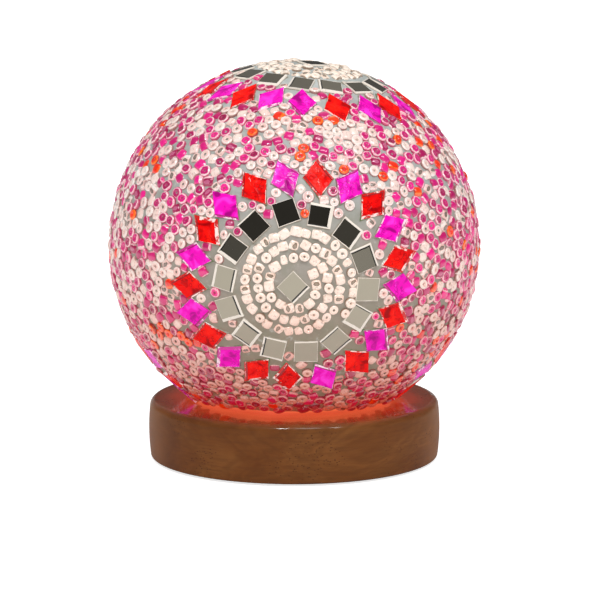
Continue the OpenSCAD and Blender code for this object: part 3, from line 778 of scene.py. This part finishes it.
def scatter(tiles, poles):
    """Directions of the loose beads: an uneven lattice, pushed apart and off the tiles. The
    second result is the most that each bead's radius may be."""
    i = np.arange(LOOSE_PLACES) + 0.5
    z = 1 - 2 * i / LOOSE_PLACES
    turn = i * math.pi * (3 - math.sqrt(5))
    ring = np.sqrt(1 - z * z)
    p = np.stack([ring * np.cos(turn), ring * np.sin(turn), z], 1)
    p = unit(p + rng.normal(0, 0.014, p.shape))
    p = p[off_spirals(p, poles)]
    middles = [unit(tile.o - CENTRE) for tile in tiles]
    for _ in range(ROUNDS):
        at = p * LOOSE_R
        gap = at[:, None, :] - at[None, :, :]
        dist = np.linalg.norm(gap, axis=2) + np.eye(len(p))
        close = np.clip(APART - dist, 0, None) * (dist < APART)
        at = at + 0.3 * (gap / dist[..., None] * close[..., None]).sum(1)
        depth, way = clearance(unit(at), tiles, middles)
        at = at + way * np.clip(OFF_TILE - depth, 0, TILE_PUSH)[:, None]
        p = unit(at)
        p = p[off_spirals(p, poles)]
    depth, _ = clearance(p, tiles, middles)
    free = depth > LEAST_OFF_TILE
    kept, room = [], []
    for q, gap in zip(p[free], depth[free]):
        if not kept or np.max(np.array(kept) @ q) < LEAST_APART:
            kept.append(q)
            room.append(gap)
    kept, room = np.array(kept), np.array(room)
    nearest = np.arccos(np.clip(np.sort(kept @ kept.T, axis=1)[:, -2], -1, 1)) * LOOSE_R
    return kept, np.minimum(room + INTO_TILE_ROOM, nearest * SHARE_OF_GAP)


# ---------------------------------------------------------------- the mosaic

# How often a side has a broad edge, how deep the chips are, and how uneven the face is
MIRROR_CUT = (0.42, 0.04 * MM, 0.0)
FOIL_CUT = (0.3, 0.09 * MM, 0.06 * MM)
ORANGE_SHARE = 0.065                      # of the loose beads
PINK_SHARE = 0.45                         # the pink ones together with the orange
LIMB_PINK = 0.28                          # more of them towards the sides
RIGHT_PINK = 0.12                         # and towards the right
TOP_WHITE = 0.08                          # and fewer towards the top
LOOSE_UPRIGHT = 0.55                      # how many loose beads stand
LOOSE_RADIUS = (2.5 * MM, 2.95 * MM)
LOOSE_LENGTH = (1.6, 1.95)                # of a bead that lies, for its radius
LOOSE_UNEVEN = 0.4 * MM
LOOSE_BEADS = {"white": WHITE_BEAD, "pink": PINK_BEAD, "orange": ORANGE_BEAD}


def foil_pieces(place):
    """The red and the magenta diamonds of a medallion, or of the small groups."""
    tiles = []
    for colour, materials in FOIL_SETS.items():
        tiles += tile_piece(f"{place}_{colour}_tiles", f"{place}_{colour}_diamonds", materials,
                            FOIL_CUT)
    return tiles


def build_mosaic():
    tiles, poles = [], []
    for medallion in MEDALLIONS:
        ring = tile_piece(medallion + "_mirror_tiles", medallion + "_mirrors", MIRROR_SET,
                          MIRROR_CUT)
        poles.append(unit(np.mean([unit(tile.o - CENTRE) for tile in ring], axis=0)))
        tiles += ring + foil_pieces(medallion)
        bead_piece(medallion + "_spiral", spiral_beads(poles[-1]), SPIRAL_BEAD,
                   medallion + "_bead_spiral")
    tiles += foil_pieces("rosette")
    groups = {colour: [] for colour in LOOSE_BEADS}
    for direction, room in zip(*scatter(tiles, poles)):
        draw = rng.random()
        pink = PINK_SHARE + LIMB_PINK * (1 - abs(direction[1]))
        pink += RIGHT_PINK * max(direction[0], 0.0) - TOP_WHITE * max(direction[2], 0.0)
        colour = "orange" if draw < ORANGE_SHARE else "pink" if draw < pink else "white"
        upright = rng.random() < LOOSE_UPRIGHT
        radius = min(rng.uniform(*LOOSE_RADIUS), room)
        if upright:
            length = rng.uniform(*STANDING_LENGTH)
        else:
            length = radius * rng.uniform(*LOOSE_LENGTH)
        heading = rng.uniform(0, 2 * math.pi)
        bead = lay_bead(direction, heading, upright, radius, length, LOOSE_UNEVEN)
        groups[colour].append(bead)
    for colour, material in LOOSE_BEADS.items():
        bead_piece(f"loose_{colour}_beads", groups[colour], material,
                   colour + "_beads")


GROUT_AROUND, GROUT_ROWS = 360, 200
GROUT_LOW = math.radians(-56.6)           # latitude of the grout's lower edge
GROUT_THIN = math.radians(2.6)            # over this it grows to its full thickness
GROUT_WAVE = math.radians(0.5)            # how far the edge waves up and down
GROUT_UNEVEN = 0.07 * MM


def build_grout():
    """The grout between the pieces: uneven, and thinning out below the lowest beads."""
    lon = np.linspace(0, 2 * math.pi, GROUT_AROUND, endpoint=False)
    wave = sum(rng.normal(0, 0.35) * np.sin(k * lon + rng.uniform(0, 6.28))
               for k in range(24, 60, 3))
    verts = []
    for k in range(GROUT_ROWS):
        edge = GROUT_LOW + GROUT_WAVE * wave
        lat = edge + (math.pi / 2 - edge) * k / (GROUT_ROWS - 1)
        thick = (GROUT_R - GLOBE_R) * np.sqrt(np.clip((lat - edge) / GROUT_THIN, 0, 1))
        r = GLOBE_R + 0.05 * MM + thick + rng.normal(0, GROUT_UNEVEN, GROUT_AROUND)
        x = r * np.cos(lat) * np.sin(lon)
        y = -r * np.cos(lat) * np.cos(lon)
        verts.append(np.stack([x, y, r * np.sin(lat)], 1) + CENTRE)
    verts[-1] = verts[-1][:1]
    faces = []
    for k in range(GROUT_ROWS - 2):
        a, b = k * GROUT_AROUND, (k + 1) * GROUT_AROUND
        for i in range(GROUT_AROUND):
            j = (i + 1) % GROUT_AROUND
            faces.append((a + i, a + j, b + j, b + i))
    last, pole = (GROUT_ROWS - 2) * GROUT_AROUND, (GROUT_ROWS - 1) * GROUT_AROUND
    faces += [(last + i, last + (i + 1) % GROUT_AROUND, pole) for i in range(GROUT_AROUND)]
    make_piece("grout", np.concatenate(verts), faces, [grout_material()], "globe",
               ["glue_coat"])


build_grout()
build_mosaic()

# ---------------------------------------------------------------- the CAD nodes that stay

assign(glass_material(), "globe_glass")
assign(wood_material(), "wood_base")
assign(plain_material("rubber", linear(38, 38, 38), 0.75, 0.0, 500.0), "rubber_feet")
assign(plain_material("black_plastic", linear(34, 33, 32), 0.5), "cover_plate", "cord_bushing")
assign(plain_material("zinc_steel", linear(176, 176, 172), 0.3, 1.0, 400.0, 0.08),
       "cover_screws", "threaded_nipple", "nipple_washer", "nipple_nut", "clamp_screws",
       "block_screw", "holder_terminal_screws")
assign(plain_material("white_plastic", linear(228, 224, 214), 0.4),
       "terminal_block", "holder_cap", "holder_shell", "bulb_housing")
assign(plain_material("porcelain", linear(236, 233, 226), 0.3), "holder_insert")
assign(plain_material("brass", linear(206, 166, 88), 0.28, 1.0, 350.0, 0.1),
       "terminal_inserts", "screw_shell", "centre_contact", "holder_terminals")
assign(plain_material("brown_insulation", linear(94, 54, 30), 0.4), "wire_live")
assign(plain_material("blue_insulation", linear(42, 92, 170), 0.4), "wire_neutral")
assign(plain_material("vitrite", linear(20, 20, 22), 0.15), "bulb_insulator")
assign(plain_material("nickel", linear(196, 192, 184), 0.22, 1.0), "bulb_tip_contact", "bulb_cap")
assign(plain_material("opal_envelope", linear(250, 200, 150), 0.3, 0.0, 200.0, 0.03, 0.8),
       "bulb_envelope")
assign(plain_material("board_aluminium", linear(200, 200, 198), 0.35, 1.0), "led_board")
assign(plain_material("phosphor", linear(244, 222, 110), 0.5), "led_chips")

# ---------------------------------------------------------------- stage, light and camera

FLOOR = 5.0                               # half the floor's side
EVEN_LIGHT = 0.62                         # of the sky on everything but glossy reflections
# What glossy surfaces reflect of the sky: how high on a scale from level to straight up,
# and how bright
ROOM = [(0.0, 0.34), (0.06, 0.2), (0.22, 0.09), (0.42, 0.05), (0.7, 0.05), (0.86, 0.12)]


def build_stage():
    corners = [(-FLOOR, -FLOOR, 0), (FLOOR, -FLOOR, 0), (FLOOR, FLOOR, 0), (-FLOOR, FLOOR, 0)]
    mesh = bpy.data.meshes.new("floor")
    mesh.from_pydata(corners, [], [(0, 1, 2, 3)])
    floor = bpy.data.objects.new("floor", mesh)
    bpy.context.scene.collection.objects.link(floor)
    m = Material("floor_paint", Roughness=0.8, Specular_IOR_Level=0.1)
    tone = m.mix(m.noise(m.position(), 3.0), linear(236, 235, 233), linear(242, 241, 240))
    m.set(Base_Color=tone, Emission_Color=m.by_ray("Is Camera Ray", 1.0, 0.0),
          Emission_Strength=0.75)
    mesh.materials.append(m.material)


def build_world():
    """A white backdrop and a soft even sky, with a dim room for the mirrors to pick up. The
    room is patchy, and brighter high up behind the lamp."""
    world = bpy.data.worlds.new("studio")
    bpy.context.scene.world = world
    world.use_nodes = True
    sky = Nodes(world.node_tree)
    direction = sky.tree.nodes.new("ShaderNodeTexCoord").outputs["Generated"]
    split = sky.node("ShaderNodeSeparateXYZ", Vector=direction).outputs
    room = sky.ramp(split["Z"], ROOM)
    behind = sky.between(sky.times(split["Y"], split["Z"]), 0.2, 0.48, 1.0, 4.0)
    patches = sky.between(sky.noise(direction, 3.0, 2.0, 0.5), 0.35, 0.65, 0.35, 1.65)
    room = sky.times(room, sky.times(behind, patches))
    light = sky.by_ray("Is Glossy Ray", room, EVEN_LIGHT)
    background = sky.tree.nodes["Background"]
    sky.feed(background, "Color", sky.by_ray("Is Camera Ray", 1.0, light))


def softbox(name, azimuth, elevation, distance, size, power, glossy=True):
    """A round area light on a circle round the globe, aimed at its middle. One that isn't
    glossy doesn't show in reflections."""
    light = bpy.data.lights.new(name, "AREA")
    light.shape = "DISK"
    light.size = size
    light.energy = power
    lamp = bpy.data.objects.new(name, light)
    a, e = math.radians(azimuth), math.radians(elevation)
    way = Vector((math.sin(a) * math.cos(e), -math.cos(a) * math.cos(e), math.sin(e)))
    lamp.location = GLOBE + way * distance
    lamp.rotation_euler = way.to_track_quat("Z", "Y").to_euler()
    bpy.context.scene.collection.objects.link(lamp)
    lamp.visible_camera = False
    lamp.visible_glossy = glossy


CAMERA_ELEVATION = math.radians(9.62)
CAMERA_DISTANCE = 1.5                     # from the point it looks at
VIEW_WIDTH = 0.27048                      # what the frame spans at that distance
LOOK_RIGHT, LOOK_DOWN = 0.0026, 0.0249    # of the globe's middle


def build_camera():
    right = Vector((1, 0, 0))
    forward = Vector((0, math.cos(CAMERA_ELEVATION), -math.sin(CAMERA_ELEVATION)))
    up = right.cross(forward)
    aim = GLOBE + right * LOOK_RIGHT - up * LOOK_DOWN
    camera = bpy.data.cameras.new("camera")
    camera.sensor_width = 36.0
    camera.lens = camera.sensor_width * CAMERA_DISTANCE / VIEW_WIDTH
    camera.clip_start, camera.clip_end = 0.05, 50.0
    eye = bpy.data.objects.new("camera", camera)
    eye.location = aim - forward * CAMERA_DISTANCE
    eye.rotation_euler = forward.to_track_quat("-Z", "Y").to_euler()
    bpy.context.scene.collection.objects.link(eye)
    bpy.context.scene.camera = eye


build_stage()
build_world()
softbox("key", azimuth=-12, elevation=51, distance=1.6, size=0.22, power=4.5)
softbox("fill", azimuth=40, elevation=46, distance=1.7, size=0.22, power=2.2)
softbox("front", azimuth=14, elevation=52, distance=1.6, size=0.5, power=2.5)
softbox("back", azimuth=180, elevation=45, distance=1.7, size=0.9, power=4, glossy=False)
build_camera()
bpy.context.scene.view_settings.view_transform = "Standard"
